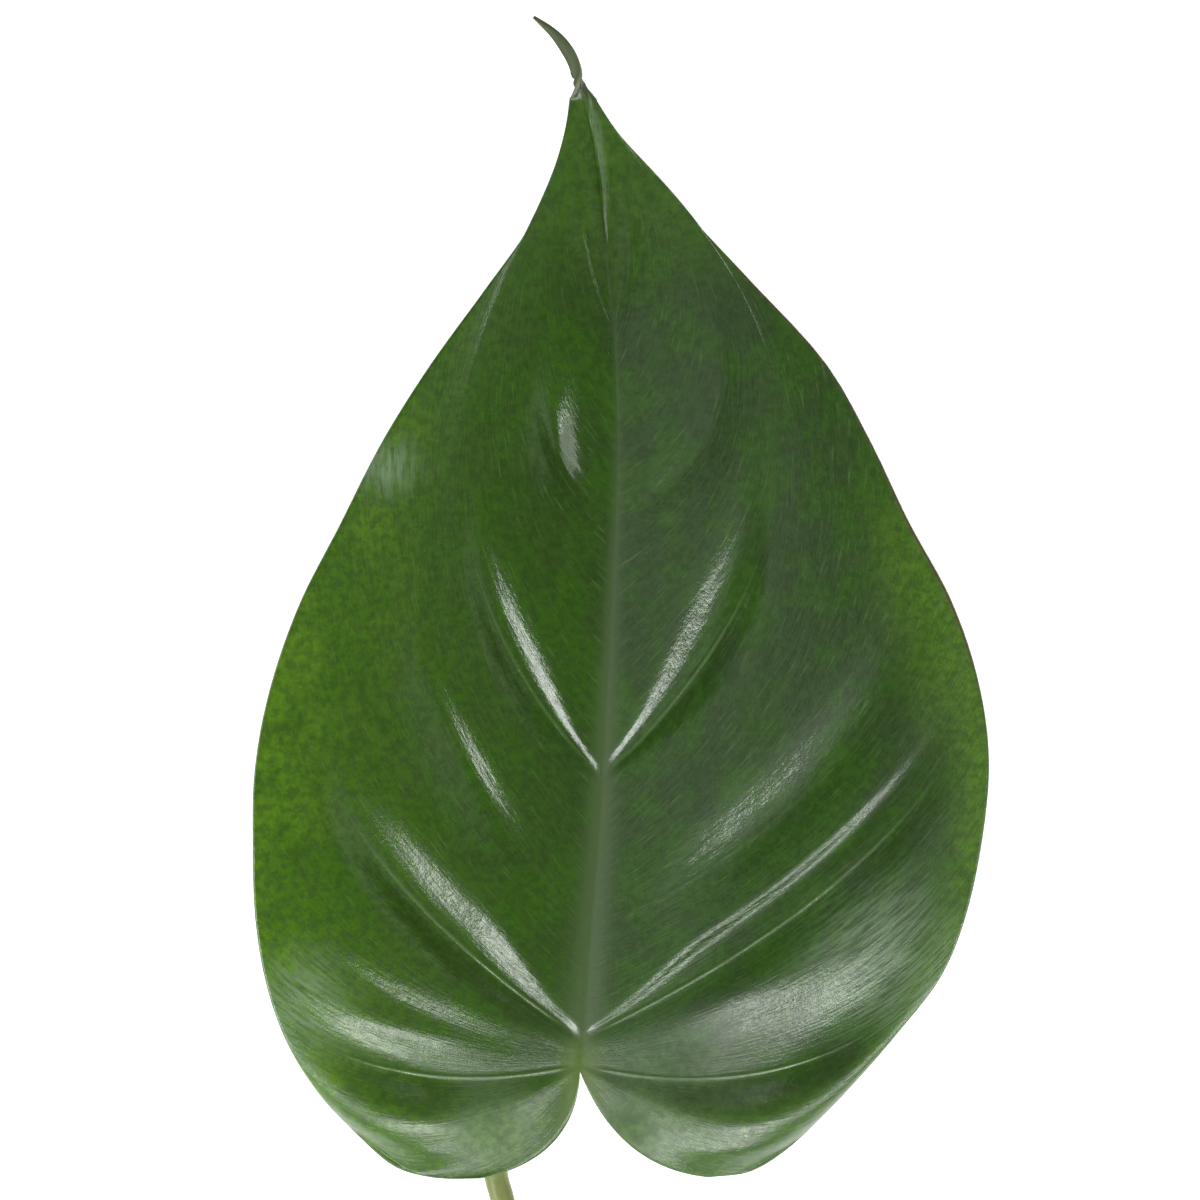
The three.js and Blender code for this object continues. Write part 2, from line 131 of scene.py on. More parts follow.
MIDRIB_CLEAR = 1.5  # the valleys grow in over this distance from the midrib
KEEL_DEPTH = 1.4  # under the midrib, at the sinus
KEEL_LEAST = 0.1  # and at the tip
KEEL_HALF_WIDTH = 1.25
RIB_DEPTH = 0.4
RIB_HALF_WIDTH = 0.5
MIDRIB_RISE = 0.3
BLADE_LENGTH = 98
TOP_Y = 105.352  # how far the drip tip reaches
STALK_RADIUS = 1.2
STALK_BASE_SWELL = 1.3  # the foot is thicker by this factor
STALK_SWELL_START = 0.8  # from this share of the stalk on
STALK_CUT = (0.9, 0.02)  # the cut face beside the stalk's end: its share of the width, its lead
STALK_NECK = 0.35  # the stalk's radius is less by this share where it meets the blade
STALK_NECK_END = 0.6  # and full from here on, counted in points of its course
STALK_SIDES = 40
STALK_STEPS = 150
STALK = np.array([
    [-0.2, 1.6, 4.2], [-1.4, -0.5, 3.3], [-3.2, -3.0, 2.4], [-5.4, -5.8, 1.6], [-7.3, -8.6, 1.2],
    [-8.5, -10.8, 1.14], [-7.8, -14.0, 1.14], [-6.5, -19.5, 1.14], [-5.2, -27.0, 1.14],
    [-4.0, -34.5, 1.14], [-3.8, -42.0, 1.16], [-4.5, -48.5, 1.25], [-5.3, -53.5, 1.4],
])

# Fine relief that only the look has.
VEIN_LINE_RISE = 0.1
VEIN_LINE_HALF = 0.2
PALE_VEINS = (2.0, 4.0, 6.0)  # the veins with a clear pale line
FAINT_LINE = 0.2  # how pale the other veins' lines are beside those
# Half the width of the pale band along the midrib, at heights along the blade.
BAND_AT_Y = [0, 21, 41, 61, 76, 100]
BAND_HALF_WIDTHS = [2.3, 1.5, 0.9, 0.5, 0.25, 0.12]

# The mesh: rows along the rib lines, columns from the midrib to the margin.
ROWS = 260
COLUMNS = 58
EVEN_COLUMNS = 0.35  # how even the columns' spacing is: at 0 they crowd at both ends
# The rows are as dense as the margin is long for each rib line, within these bounds, and denser
# beside a vein.
ROW_DENSITY = (4, 22)
VEIN_DENSITY = 28
VEIN_DENSITY_HALF = 0.09
LINE_STEP = 0.04  # step of the rib lines over which their spacing is measured
STEEPEST = 0.75  # slopes are thicker upright, up to those whose unit normal is this high
RIM_WIDTH = 0.35  # the rim is rounded over this distance
RIM_LIFT = 0.3  # and the lower edge only above the ground
RIGHT_HALF_ASIDE = 20  # the right half's streaks lie this far from the left half's
# The flat layout: corner of the blade, its width and height, and the edge left free.
LAYOUT_X, LAYOUT_Y = 34, 14
LAYOUT_WIDTH, LAYOUT_HEIGHT = 160, 125
LAYOUT_EDGE = 0.01

# The picture: its middle in millimetres from the sinus, the lens in millimetres, the rest in metres.
PICTURE_MIDDLE = (2.0, 46.5)
LENS = 200
SENSOR = 36
PICTURE_WIDTH = 0.12
LEAF_TOP = 0.006
FLOOR_SIZE = 6
FLOOR_DROP = 0.0004

MM = 0.001
LAST_LINE = len(RIB_LINES["left"]) - 1
TIP_X, _, TIP_Z = MIDRIB[-1]


def smooth(low, high, x):
    w = np.clip((x - low) / (high - low), 0, 1)
    return w * w * (3 - 2 * w)


def spline(rows, u):
    """A Catmull-Rom spline through rows of numbers at places u, where row i is at u = i."""
    rows = np.asarray(rows, float)
    u = np.asarray(u, float)
    last = len(rows) - 1
    i = np.clip(np.floor(u).astype(int), 0, last - 1)
    w = (u - i)[..., None]
    a, b, c, d = (rows[np.clip(i + k, 0, last)] for k in (-1, 0, 1, 2))
    into = (c - a) / 2
    out = (d - b) / 2
    return b + w * (into + w * (3 * (c - b) - 2 * into - out + w * (2 * (b - c) + into + out)))


MIDRIB_TABLE = spline(MIDRIB, np.linspace(0, len(MIDRIB) - 1, 2001))


def midrib_at(y):
    """x and z of the midrib at height y along the blade."""
    return (np.interp(y, MIDRIB_TABLE[:, 1], MIDRIB_TABLE[:, 0]),
            np.interp(y, MIDRIB_TABLE[:, 1], MIDRIB_TABLE[:, 2]))


def line_at(side, s):
    """Start y, start x, bend x, bend y and end x, y, z of the rib lines s of one half."""
    s = np.asarray(s, float)
    inner = spline(RIB_LINES[side], np.minimum(s, LAST_LINE))
    start, bend_x, bend_y, place = np.moveaxis(inner, -1, 0)
    end_x, end_y, end_z = np.moveaxis(spline(MARGIN[side], place), -1, 0)
    sign = -1 if side == "left" else 1
    over = s > LAST_LINE
    reach = np.where(over, (s - LAST_LINE) / TIP_LINES, 0)
    widths = np.array([[MARGIN[side][-1][0] * sign]] + [[w] for w in TIP_HALF_WIDTHS])
    half = spline(widths, np.where(over, s - LAST_LINE, 0))[..., 0]
    tip_x = TIP_X + sign * (half - TIP_X * sign * (1 - np.minimum(reach * TIP_LINES, 1)))
    last_y = MARGIN[side][-1][1]
    tip_y = last_y + (TIP_START + TIP_LENGTH - last_y) * reach
    last_start = RIB_LINES[side][-1][0]
    tip_start = last_start + (tip_y - TIP_LEAD - last_start) * np.sqrt(reach)
    start = np.where(over, tip_start, start)
    end_x = np.where(over, tip_x, end_x)
    end_y = np.where(over, tip_y, end_y)
    end_z = np.where(over, TIP_Z, end_z)
    start_x = midrib_at(start)[0]
    bend_x = np.where(over, (start_x + end_x) / 2, bend_x)
    bend_y = np.where(over, (start + end_y) / 2, bend_y)
    return start, start_x, bend_x, bend_y, end_x, end_y, end_z


def place_on(line, t):
    """x and y at the shares t of a rib line."""
    start, start_x, bend_x, bend_y, end_x, end_y, _ = line
    p, q, r = (1 - t) ** 2, 2 * t * (1 - t), t * t
    return p * start_x + q * bend_x + r * end_x, p * start + q * bend_y + r * end_y


def upper_face(side, s, t):
    """The upper face of one half as grids, with the numbers that the materials are painted by."""
    line = line_at(side, s)
    x, y = place_on(line, t)
    ax, ay = place_on(line_at(side, s - LINE_STEP), t)
    bx, by = place_on(line_at(side, s + LINE_STEP), t)
    spacing = np.hypot(bx - ax, by - ay) / (2 * LINE_STEP)
    start, start_x, _, _, end_x, end_y, end_z = line
    length = np.hypot(end_x - start_x, end_y - start)
    settle = LOBE_SETTLE + (BLADE_SETTLE - LOBE_SETTLE) * smooth(*LOBE_LINES, s)
    share = t + settle * t * (1 - t)
    z = midrib_at(start)[1] * (1 - share) + end_z * share
    grown = VALLEY_START + (1 - VALLEY_START) * smooth(0, VALLEY_GROWTH, t * length)
    pale = np.zeros_like(x)
    rib = np.zeros_like(x)
    for at, depth, above, below, begin, end, power in VEINS[side]:
        off = (s - at) * spacing
        crowding = max(above, below) / (VALLEY_ROOM * spacing + 1e-9)
        room = grown * (1 + crowding ** CROWDING_POWER) ** (-1 / CROWDING_POWER)
        u = off / (np.where(off > 0, above, below) * room + 1e-9)
        fade = smooth(0, MIDRIB_CLEAR, t * length) * smooth(0.3 * begin, begin + 0.01, t)
        fade = fade * (1 - smooth(0.5 * end, end, t))
        z = z - depth * room * fade * np.exp(-np.abs(u) ** np.where(off > 0, power, 2) / 2)
        under = RIB_DEPTH * smooth(0.2, 0.9, depth) * (1 - smooth(0.3 * end, end, t))
        rib = np.maximum(rib, under * np.exp(-((off / RIB_HALF_WIDTH) ** 2)))
        line_fade = smooth(0.02, 0.08, t) * (1 - smooth(0.55 * end, 0.95 * end, t))
        strength = smooth(0.2, 1.2, depth) * line_fade * (1.0 if at in PALE_VEINS else FAINT_LINE)
        pale = np.maximum(pale, strength * np.exp(-((off / VEIN_LINE_HALF) ** 2)))
    z = z + VEIN_LINE_RISE * pale
    taper = np.maximum(1 - np.maximum(y, 0) / BLADE_LENGTH, 0)
    mid_x = midrib_at(y)[0]
    keel = np.exp(-(((x - mid_x) / (KEEL_HALF_WIDTH * (0.25 + 0.75 * taper))) ** 2))
    z = z + MIDRIB_RISE * taper * keel
    return {
        "x": x, "y": y, "z": z, "pale": pale, "rib": rib, "taper": taper, "keel": keel,
        "from_mid": x - mid_x, "s": s + 0 * t, "along": t * length, "inside": (1 - t) * length,
    }


def row_places():
    """Rib lines for the rows: crowded beside the veins and evenly spread along the margin."""
    s = np.linspace(0, LAST_LINE + TIP_LINES, 6001)
    density = np.zeros_like(s)
    for side in ("left", "right"):
        _, _, _, _, end_x, end_y, _ = line_at(side, s)
        density = np.maximum(density, np.hypot(np.gradient(end_x, s), np.gradient(end_y, s)))
    density = np.clip(density, *ROW_DENSITY)
    for veins in VEINS.values():
        for at, *_ in veins:
            density += VEIN_DENSITY * np.exp(-(((s - at) / VEIN_DENSITY_HALF) ** 2))
    total = np.concatenate([[0], np.cumsum((density[1:] + density[:-1]) / 2 * np.diff(s))])
    return np.interp(np.linspace(0, total[-1], ROWS), total, s)


def lay_tip(points):
    """Lays the straight drip tip along its bent and twisted axis."""
    out = points.copy()
    for k in np.nonzero(points[:, 1] > TIP_START)[0]:
        x, y, z = points[k]
        u = min((y - TIP_START) / TIP_LENGTH, 1)
        place = u * (len(TIP_AXIS) - 1)
        centre = Vector(spline(TIP_AXIS, place))
        ahead = (centre - Vector(spline(TIP_AXIS, place - 0.02))).normalized()
        flat = Vector((ahead.y, -ahead.x, 0)).normalized()
        bend = float(smooth(0, TIP_BENT, u))
        side = Vector((1, 0, 0)).lerp(flat, bend)
        side = (side - ahead * side.dot(ahead) * bend).normalized()
        turn = TIP_TWIST * float(smooth(0, TIP_TWISTED, u))
        side = side * math.cos(turn) + ahead.cross(side) * math.sin(turn) \
            + ahead * ahead.dot(side) * (1 - math.cos(turn))
        up = side.cross(ahead).normalized()
        out[k] = centre + side * (x - TIP_X) + up * (z - TIP_Z + BLADE_THICKNESS / 2)
    return out


def blade_grid():
    """Grids of the whole blade from the left margin to the right one, and both faces' heights."""
    s = row_places()[:, None]
    u = np.linspace(0, 1, COLUMNS)
    t = (EVEN_COLUMNS * u + (1 - EVEN_COLUMNS) * (1 - np.cos(math.pi * u)) / 2)[None, :]
    left = upper_face("left", s, t)
    right = upper_face("right", s, t)
    grid = {k: np.concatenate([left[k][:, ::-1], right[k][:, 1:]], axis=1) for k in left}
    surface = np.stack([grid["x"], grid["y"], grid["z"]], -1)
    normal = np.cross(np.gradient(surface, axis=1), np.gradient(surface, axis=0))
    size = np.linalg.norm(normal, axis=-1)
    flat = np.where(size > 1e-9, np.abs(normal[..., 2]) / np.maximum(size, 1e-9), 1)
    thick = BLADE_THICKNESS / np.maximum(flat, STEEPEST)
    under = np.maximum(grid["rib"], (KEEL_DEPTH * grid["taper"] + KEEL_LEAST) * grid["keel"])
    top = grid["z"]
    bottom = top - thick - under
    lying = grid["y"] < TIP_START
    bottom = np.where(lying, np.maximum(bottom, 0), bottom)
    top = np.where(lying, np.maximum(top, bottom + BLADE_THICKNESS), top)
    rounding = RIM_ROUNDING * (1 - smooth(0, RIM_WIDTH, grid["inside"]))
    return grid, top - rounding, bottom + rounding * smooth(0, RIM_LIFT, bottom)


def add_attribute(mesh, name, values):
    """Gives every corner of a mesh a number that its materials can read."""
    data = mesh.attributes.new(name, "FLOAT", "POINT")
    data.data.foreach_set("value", np.ascontiguousarray(values, np.float32))


def blade_quads(rows, cols):
    """Corner numbers of the upper face, the underside and the rim's walls."""
    count = rows * cols
    r, c = np.meshgrid(np.arange(rows - 1), np.arange(cols - 1), indexing="ij")
    a = (r * cols + c).ravel()
    upper = np.stack([a, a + 1, a + 1 + cols, a + cols], 1)
    lower = upper[:, ::-1] + count
    side = np.arange(rows - 1) * cols
    left_wall = np.stack([side, side + cols, side + cols + count, side + count], 1)
    end = np.arange(cols - 1)
    last = (rows - 1) * cols
    walls = np.concatenate([
        left_wall,
        left_wall[:, ::-1] + (cols - 1),
        np.stack([end, end + 1, end + 1 + count, end + count], 1)[:, ::-1],
        np.stack([end + 1, end, end + count, end + 1 + count], 1)[:, ::-1] + last,
    ])
    return upper, lower, walls


def add_layouts(mesh, flat, count):
    """Coordinates that run along the rib lines, for streaks, and a flat layout of both faces."""
    lines = mesh.uv_layers.new(name="ribs")
    layout = mesh.uv_layers.new(name="OFBake")
    corner = np.zeros(len(mesh.loops), np.int32)
    mesh.loops.foreach_get("vertex_index", corner)
    on_right = flat["from_mid"] >= 0
    rib_uv = np.stack([flat["s"] + RIGHT_HALF_ASIDE * on_right, flat["along"] / 10], 1)[corner]
    lines.data.foreach_set("uv", rib_uv.astype(np.float32).ravel())
    x = (flat["x"] + LAYOUT_X) / LAYOUT_WIDTH + LAYOUT_EDGE
    x = x + np.concatenate([np.zeros(count), np.full(count, 0.5)])
    y = (flat["y"] + LAYOUT_Y) / LAYOUT_HEIGHT
    flat_uv = np.stack([x, y], 1)[corner]
    layout.data.foreach_set("uv", flat_uv.astype(np.float32).ravel())
    mesh.uv_layers.active = layout


def build_blade(shift):
    """The blade as one closed mesh, with the numbers and layouts of its materials."""
    grid, top, bottom = blade_grid()
    rows, cols = top.shape
    upper = np.stack([grid["x"], grid["y"], top], -1).reshape(-1, 3)
    lower = np.stack([grid["x"], grid["y"], bottom], -1).reshape(-1, 3)
    points = lay_tip(np.concatenate([upper, lower])) + shift
    upper_quads, lower_quads, wall_quads = blade_quads(rows, cols)
    quads = np.concatenate([upper_quads, lower_quads, wall_quads])
    mesh = bpy.data.meshes.new("blade")
    mesh.from_pydata((points * MM).tolist(), [], quads.tolist())
    kinds = np.concatenate([np.zeros(len(upper_quads)), np.ones(len(lower_quads)),
                            np.full(len(wall_quads), 2)]).astype(np.int32)
    mesh.polygons.foreach_set("material_index", kinds)
    mesh.polygons.foreach_set("use_smooth", np.ones(len(quads), bool))
    flat = {k: np.tile(v.ravel(), 2) for k, v in grid.items()}
    half = np.interp(flat["y"], BAND_AT_Y, BAND_HALF_WIDTHS)
    add_attribute(mesh, "vein", flat["pale"])
    add_attribute(mesh, "midrib", np.exp(-((flat["from_mid"] / half) ** 2)))
    add_attribute(mesh, "inside", flat["inside"])
    add_attribute(mesh, "under_rib", np.maximum(flat["rib"] / RIB_DEPTH, flat["keel"]))
    add_attribute(mesh, "across_x", flat["x"])
    add_attribute(mesh, "along_y", flat["y"])
    add_layouts(mesh, flat, rows * cols)
    obj = bpy.data.objects.new("blade", mesh)
    bpy.context.scene.collection.objects.link(obj)
    mesh.validate()
    return obj


def build_stalk(shift):
    """The stalk as a tube, thinner where it meets the blade, with a clean cut at its foot."""
    sides, steps = STALK_SIDES, STALK_STEPS
    last = len(STALK) - 1
    u = np.linspace(0, last, steps)
    centre = spline(STALK, u)
    ahead = spline(STALK, u + 0.01) - centre
    ahead /= np.linalg.norm(ahead, axis=1)[:, None]
    side = np.cross([0, 0, 1], ahead)
    side /= np.linalg.norm(side, axis=1)[:, None]
    over = np.cross(ahead, side)
    radius = STALK_RADIUS * (1 + (STALK_BASE_SWELL - 1) * smooth(STALK_SWELL_START, 1, u / last))
    radius = radius * (1 - STALK_NECK * (1 - smooth(0, STALK_NECK_END, u)))
    angle = 2 * math.pi * np.arange(sides) / sides
    ring = side[:, None] * np.cos(angle)[None, :, None] + over[:, None] * np.sin(angle)[None, :, None]
    points = centre[:, None] + ring * radius[:, None, None]
    points[..., 2] = np.maximum(points[..., 2], 0)
    verts = points.reshape(-1, 3).tolist()
    faces = []
    for k in range(steps - 1):
        for j in range(sides):
            n = (j + 1) % sides
            faces.append([k * sides + j, k * sides + n, (k + 1) * sides + n, (k + 1) * sides + j])
    tube = len(faces)
    foot = (steps - 1) * sides
    width, lead = STALK_CUT
    verts += (centre[-1] + (points[-1] - centre[-1]) * width + ahead[-1] * lead).tolist()
    base = steps * sides
    for j in range(sides):
        n = (j + 1) % sides
        faces.append([foot + j, foot + n, base + n, base + j])
    faces.append([base + j for j in range(sides)])
    faces.append(list(reversed(range(sides))))
    mesh = bpy.data.meshes.new("stalk")
    mesh.from_pydata(((np.array(verts) + shift) * MM).tolist(), [], faces)
    for k, polygon in enumerate(mesh.polygons):
        polygon.use_smooth = k < tube
        polygon.material_index = 0 if k < tube + sides else 1
    obj = bpy.data.objects.new("stalk", mesh)
    bpy.context.scene.collection.objects.link(obj)
    mesh.validate()
    return obj


class Nodes:
    """Short forms for a material's nodes."""

    def __init__(self, name):
        self.material = bpy.data.materials.new(name)
        self.material.use_nodes = True
        self.tree = self.material.node_tree
        self.shader = self.tree.nodes["Principled BSDF"]

    def put(self, target, value):
        if isinstance(value, bpy.types.NodeSocket):
            self.tree.links.new(value, target)
        elif isinstance(value, (tuple, list)) and len(value) == 3 and target.type == "RGBA":
            target.default_value = (*value, 1)
        else:
            target.default_value = value

    def set(self, **inputs):
        for name, value in inputs.items():
            self.put(self.shader.inputs[name.replace("_", " ")], value)

    def attribute(self, name):
        node = self.tree.nodes.new("ShaderNodeAttribute")
        node.attribute_name = name
        return node.outputs["Fac"]

    def math(self, operation, a, b=0.0):
        node = self.tree.nodes.new("ShaderNodeMath")
        node.operation = operation
        self.put(node.inputs[0], a)
        self.put(node.inputs[1], b)
        return node.outputs[0]

    def most(self, first, *others):
        """The largest of some values."""
        for other in others:
            first = self.math("MAXIMUM", first, other)
        return first

    def span(self, value, low, high, to_low=0.0, to_high=1.0):
        """A smooth step from one value to another while the first goes from low to high."""
        node = self.tree.nodes.new("ShaderNodeMapRange")
        node.interpolation_type = "SMOOTHSTEP"
        for name, v in zip(("Value", "From Min", "From Max", "To Min", "To Max"),
                           (value, low, high, to_low, to_high)):
            self.put(node.inputs[name], v)
        return node.outputs[0]

    def mix(self, amount, a, b):
        node = self.tree.nodes.new("ShaderNodeMix")
        node.data_type = "RGBA"
        self.put(node.inputs[0], amount)
        self.put(node.inputs[6], a)
        self.put(node.inputs[7], b)
        return node.outputs[2]

    def near(self, x, y, at_x, at_y, reach):
        """1 at a place of the leaf, falling to 0 at a distance."""
        dx = self.math("SUBTRACT", x, at_x)
        dy = self.math("SUBTRACT", y, at_y)
        square = self.math("ADD", self.math("MULTIPLY", dx, dx), self.math("MULTIPLY", dy, dy))
        return self.span(self.math("SQRT", square), reach, 0.0)

    def place(self, scale=(1, 1, 1), uv=None):
        """Coordinates in metres, or those of a layout, times a scale."""
        if uv:
            node = self.tree.nodes.new("ShaderNodeUVMap")
            node.uv_map = uv
            out = node.outputs[0]
        else:
            out = self.tree.nodes.new("ShaderNodeTexCoord").outputs["Object"]
        mapping = self.tree.nodes.new("ShaderNodeMapping")
        mapping.inputs["Scale"].default_value = scale
        self.put(mapping.inputs["Vector"], out)
        return mapping.outputs[0]

    def noise(self, place, scale, detail=3.0, rough=0.55):
        node = self.tree.nodes.new("ShaderNodeTexNoise")
        self.put(node.inputs["Vector"], place)
        self.put(node.inputs["Scale"], scale)
        self.put(node.inputs["Detail"], detail)
        self.put(node.inputs["Roughness"], rough)
        return node.outputs["Fac"]

    def bump(self, height, strength, distance, normal=None):
        node = self.tree.nodes.new("ShaderNodeBump")
        self.put(node.inputs["Height"], height)
        self.put(node.inputs["Strength"], strength)
        self.put(node.inputs["Distance"], distance)
        if normal is not None:
            self.put(node.inputs["Normal"], normal)
        return node.outputs[0]


def srgb(r, g, b):
    """A colour given as it looks, 0 to 255, as the shader's linear numbers."""
    shares = (v / 255 for v in (r, g, b))
    return tuple(v / 12.92 if v <= 0.04045 else ((v + 0.055) / 1.055) ** 2.4 for v in shares)


DEEP_GREEN = srgb(45, 70, 24)
REFLECTION_GREEN = srgb(48, 69, 35)
# a grey green for the painted reflection that veils the right half
WARM_GREEN = srgb(82, 124, 20)
VEIN_GREEN = srgb(84, 110, 62)
KNOT_GREEN = srgb(84, 106, 44)
PATCH_GREEN = srgb(48, 90, 12)
DARK_GREEN = srgb(28, 50, 6)
STREAK_GREEN = srgb(60, 88, 34)
THREAD_GREEN = srgb(84, 116, 56)
BAND_GREEN = srgb(70, 90, 54)
# the pale grey green of painted sheen
SHEEN_GREEN = srgb(118, 140, 108)
UNDER_GREEN = srgb(96, 124, 70)
UNDER_DARK = srgb(82, 110, 58)
UNDER_VEIN = srgb(138, 156, 100)
TAIL_GREEN = srgb(58, 66, 40)
RIM_GREEN = srgb(92, 98, 58)
EDGE_BROWN = srgb(84, 64, 38)
STALK_OLIVE = srgb(112, 122, 62)
STALK_PALE = srgb(142, 150, 92)
STALK_SHADE = srgb(86, 98, 44)
PITH = srgb(196, 200, 160)


def ground_green(n, x, y, inside):
    """Deep green, greyer on the right half by a painted reflection, and warmer along the left margin,
    tip and lobes.
    """
    left = n.math("MULTIPLY", n.span(x, 6.0, -33.0), n.span(inside, 26.0, 2.0, 0.45, 1.0))
    right = n.math("MULTIPLY", n.span(x, 8.0, 34.0, 0.0, 0.75), n.span(inside, 13.0, 1.0))
    right = n.math("MULTIPLY", right, n.span(y, 66.0, 48.0))
    tip = n.span(y, 74.0, 92.0, 0.0, 0.5)
    lobes = n.span(y, 3.0, -7.0, 0.0, 0.5)
    warm = n.most(left, right, tip, lobes)
    # painted reflection: the right half turns greyer, as if it mirrored a dim light
    green = n.mix(n.span(x, -4.0, 12.0), DEEP_GREEN, REFLECTION_GREEN)
    return n.mix(n.math("MULTIPLY", warm, 0.95), green, WARM_GREEN)


def with_mottling(n, green, grain, mottle, streaks):
    """Patches, dark specks, grain and streaks that run along the rib lines."""
    patches = n.noise(n.place(), 150.0, 4.0, 0.65)
    threads = n.noise(n.place((11.0, 0.5, 1), uv="ribs"), 6.0, 2.0, 0.5)
    green = n.mix(n.span(patches, 0.42, 0.6, 0.0, 0.6), green, PATCH_GREEN)
    green = n.mix(n.span(mottle, 0.33, 0.67, 0.0, 0.55), green, DARK_GREEN)
    green = n.mix(n.span(grain, 0.5, 0.75, 0.0, 0.15), green, STREAK_GREEN)
    green = n.mix(n.span(streaks, 0.45, 0.75, 0.0, 0.4), green, STREAK_GREEN)
    return n.mix(n.span(threads, 0.58, 0.75, 0.0, 0.4), green, THREAD_GREEN)


def with_marks(n, green, x, y, inside, streaks):
    """Painted sheen near the margins, vein lines, midrib, brown edge, knot at the sinus and drip tip.
    """
    # painted sheen: pale grey-green patches, broken up by the streaks, where the blade would shine
    painted_sheen = n.most(n.near(x, y, 31.0, 10.0, 12.0), n.near(x, y, -28.0, 6.0, 8.0),
                   n.near(x, y, -19.5, 60.0, 5.0))
    painted_sheen = n.math("MULTIPLY", painted_sheen, n.span(streaks, 0.38, 0.62, 0.15, 0.75))
    green = n.mix(painted_sheen, green, SHEEN_GREEN)
    green = n.mix(n.math("MULTIPLY", n.attribute("vein"), 0.6), green, VEIN_GREEN)
    band = n.math("MULTIPLY", n.attribute("midrib"), n.span(y, 92.0, 30.0, 0.1, 0.9))
    green = n.mix(band, green, BAND_GREEN)
    brown = n.math("MULTIPLY", n.span(inside, 0.8, 0.1), n.span(x, 10.0, 18.0))
    brown = n.math("MULTIPLY", brown, n.span(y, 30.0, 45.0, 0.0, 0.6))
    green = n.mix(brown, green, EDGE_BROWN)
    knot = n.math("MULTIPLY", n.span(n.math("ABSOLUTE", x), 3.2, 0.4), n.span(y, 4.5, -0.5))
    green = n.mix(n.math("MULTIPLY", knot, 0.8), green, KNOT_GREEN)
    return n.mix(n.span(y, 96.0, 99.0, 0.0, 0.85), green, TAIL_GREEN)


def upper_bumps(n, grain, mottle, streaks):
    """Fine bumps, which the midrib hardly has."""
    height = n.math("ADD", streaks, n.math("MULTIPLY", mottle, 0.9))
    height = n.math("MULTIPLY", height, n.span(n.attribute("midrib"), 0.0, 1.0, 1.0, 0.15))
    return n.bump(grain, 0.2, 0.00005, n.bump(height, 0.35, 0.00015))


def upper_roughness(n, x, y, mottle):
    """A gloss that dulls on the lobes, most of all beside the sinus."""
    rough = n.span(mottle, 0.25, 0.75, -0.05, 0.05)
    rough = n.math("ADD", rough, n.span(y, 14.0, -3.0, 0.21, 0.3))
    dull = n.most(n.near(x, y, 9.0, -0.5, 10.0), n.near(x, y, -9.0, -6.0, 7.5),
                  n.near(x, y, 5.0, -6.0, 6.0))
    return n.math("ADD", rough, n.math("MULTIPLY", dull, 0.4))


def upper_material():
    n = Nodes("blade_upper")
    x = n.attribute("across_x")
    y = n.attribute("along_y")
    inside = n.attribute("inside")
    grain = n.noise(n.place(), 2600.0, 2.0, 0.6)
    mottle = n.noise(n.place(), 1100.0, 3.0, 0.7)
    streaks = n.noise(n.place((4.0, 0.4, 1), uv="ribs"), 6.0, 4.0, 0.65)
    green = ground_green(n, x, y, inside)
    green = with_mottling(n, green, grain, mottle, streaks)
    green = with_marks(n, green, x, y, inside, streaks)
    n.set(Base_Color=green, Roughness=upper_roughness(n, x, y, mottle))
    n.set(Normal=upper_bumps(n, grain, mottle, streaks), Specular_IOR_Level=0.85, IOR=1.5)
    return n.material


def lower_material():
    n = Nodes("blade_under")
    mottle = n.noise(n.place(), 700.0, 3.0, 0.6)
    green = n.mix(n.span(mottle, 0.3, 0.7, 0.0, 0.4), UNDER_GREEN, UNDER_DARK)
    green = n.mix(n.math("MULTIPLY", n.attribute("under_rib"), 0.8), green, UNDER_VEIN)
    streaks = n.noise(n.place((9.0, 0.5, 1), uv="ribs"), 6.0, 3.0, 0.6)
    green = n.mix(n.span(n.attribute("along_y"), 96.0, 99.0, 0.0, 0.85), green, TAIL_GREEN)
    n.set(Base_Color=green, Normal=n.bump(streaks, 0.4, 0.0002))
    n.set(Roughness=0.55, Specular_IOR_Level=0.4)
    return n.material


def rim_material():
    n = Nodes("blade_rim")
    n.set(Base_Color=RIM_GREEN, Roughness=0.45)
    return n.material


def stalk_material():
    n = Nodes("stalk_skin")
    lines = n.noise(n.place((900, 60, 900)), 1.0, 3.0, 0.6)
    mottle = n.noise(n.place(), 800.0, 2.0, 0.5)
    olive = n.mix(n.span(lines, 0.35, 0.7, 0.0, 0.7), STALK_OLIVE, STALK_PALE)
    olive = n.mix(n.span(mottle, 0.4, 0.7, 0.0, 0.4), olive, STALK_SHADE)
    n.set(Base_Color=olive, Normal=n.bump(lines, 0.4, 0.0002))
    n.set(Roughness=0.42)
    return n.material


def pith_material():
    n = Nodes("stalk_cut")
    n.set(Base_Color=PITH, Roughness=0.7)
    return n.material


# Lights: name, place from the middle of the picture and size in metres, and power in watts.
LIGHTS = [
    ("key", -0.03, -0.69, 0.73, (0.8, 0.36), 8.6),
    ("side_left", -0.75, -0.33, 0.55, (0.5, 0.3), 4.4),
    ("side_right", 0.67, -0.42, 0.62, (0.4, 0.3), 3.4),
    ("band_right", 0.4, -0.4, 0.84, (0.5, 0.5), 0.4),
    ("low_left", -0.9, 0.1, 0.4, (0.5, 0.5), 1.5),
    ("low_tip", 0.1, 0.9, 0.4, (0.5, 0.5), 1.0),
    ("veil", 0.4, 0.1, 0.95, (0.7, 0.7), 0.5),
]


def add_light(name, place, target, size, power):
    data = bpy.data.lights.new(name, "AREA")
    data.shape = "RECTANGLE"
    data.size, data.size_y = size
    data.energy = power
    light = bpy.data.objects.new(name, data)
    light.location = place
    light.rotation_euler = (Vector(target) - Vector(place)).to_track_quat("-Z", "Y").to_euler()
    bpy.context.scene.collection.objects.link(light)


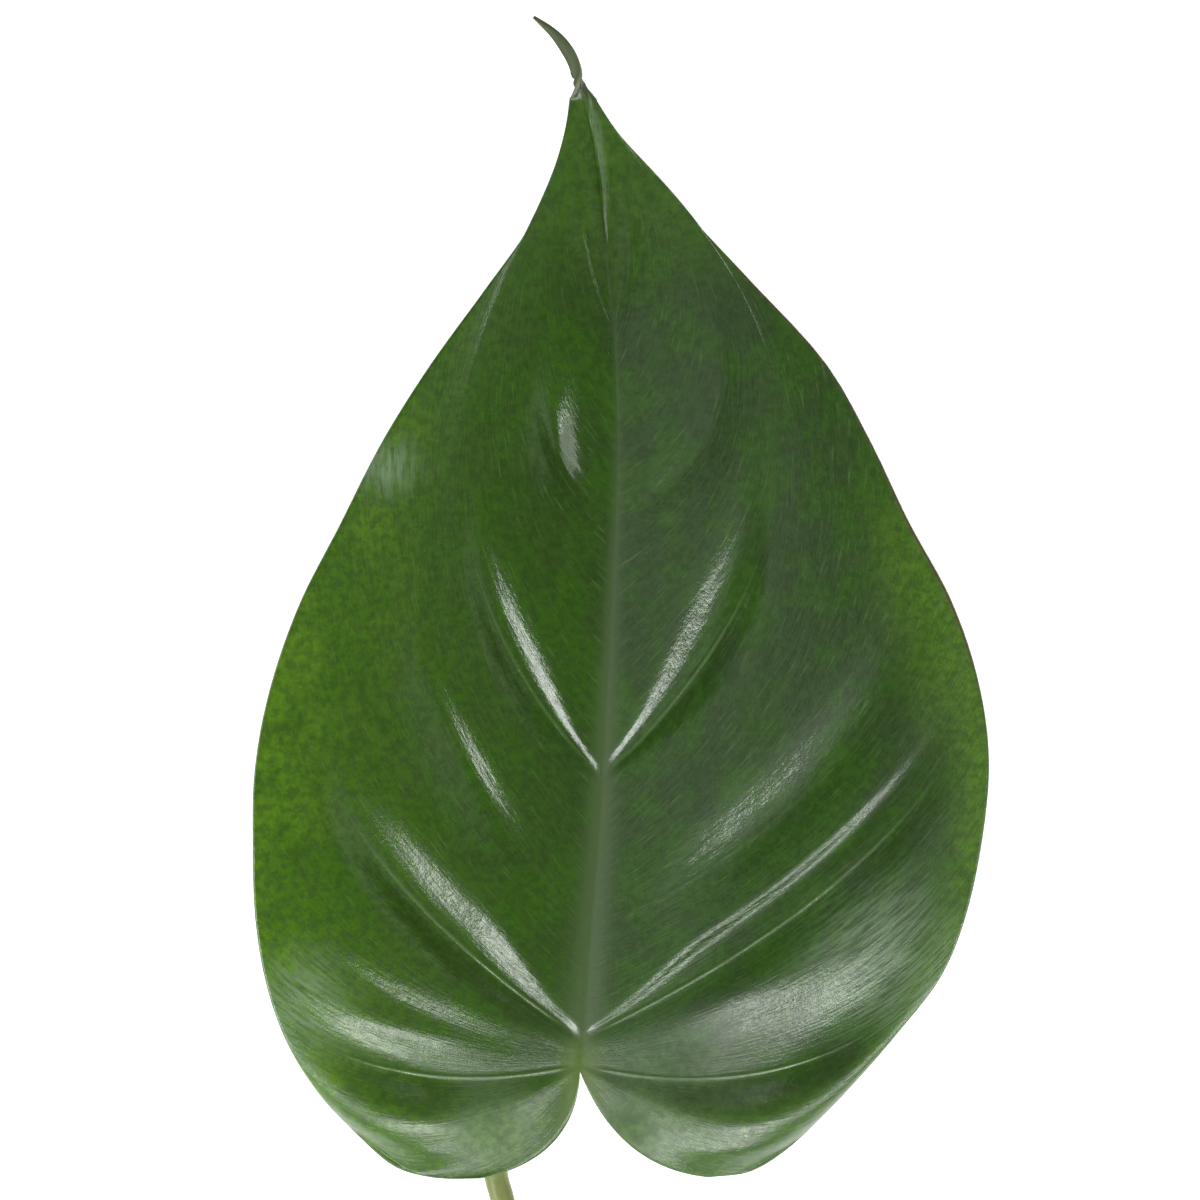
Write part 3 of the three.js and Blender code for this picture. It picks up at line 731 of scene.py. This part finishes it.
def add_floor():
    bpy.ops.mesh.primitive_plane_add(size=FLOOR_SIZE, location=(0, 0, -FLOOR_DROP))
    floor = bpy.context.object
    floor.name = "floor"
    n = Nodes("floor_white")
    n.set(Base_Color=(0.8, 0.8, 0.8), Roughness=1.0, Specular_IOR_Level=0.0)
    n.set(Emission_Color=(1, 1, 1), Emission_Strength=0.75)
    floor.data.materials.append(n.material)
    return floor


def set_world():
    world = bpy.data.worlds.new("sky")
    bpy.context.scene.world = world
    world.use_nodes = True
    background = world.node_tree.nodes["Background"]
    background.inputs[0].default_value = (0.95, 0.98, 1.0, 1)
    background.inputs[1].default_value = 0.03


def add_camera(middle, wide):
    """Looks straight down, with the tip at the top of the picture."""
    data = bpy.data.cameras.new("camera")
    data.lens = LENS
    data.sensor_width = SENSOR
    data.clip_end = 50
    camera = bpy.data.objects.new("camera", data)
    height = wide * data.lens / data.sensor_width
    camera.location = (middle[0], middle[1], height + LEAF_TOP)
    bpy.context.scene.collection.objects.link(camera)
    bpy.context.scene.camera = camera


def main():
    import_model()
    low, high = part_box("leaf_blade")
    edge = MARGIN["left"]
    widest = spline(edge, np.linspace(0, len(edge) - 1, 4001))[:, 0].min()
    shift = np.array([low.x / MM - widest, high.y / MM - TOP_Y, 0.0])

    blade = build_blade(shift)
    blade.data.materials.append(upper_material())
    blade.data.materials.append(lower_material())
    blade.data.materials.append(rim_material())
    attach(blade, "root")
    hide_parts("leaf_blade")

    stalk = build_stalk(shift)
    stalk.data.materials.append(stalk_material())
    stalk.data.materials.append(pith_material())
    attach(stalk, "root")
    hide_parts("petiole")

    floor = add_floor()
    set_world()
    centre = ((PICTURE_MIDDLE[0] + shift[0]) * MM, (PICTURE_MIDDLE[1] + shift[1]) * MM)
    for name, x, y, z, size, power in LIGHTS:
        add_light(name, (centre[0] + x, centre[1] + y, z), (*centre, 0), size, power)
    add_camera(centre, PICTURE_WIDTH)
    bpy.context.scene.view_settings.view_transform = "Standard"
    bpy.context.scene.view_settings.look = "None"


main()
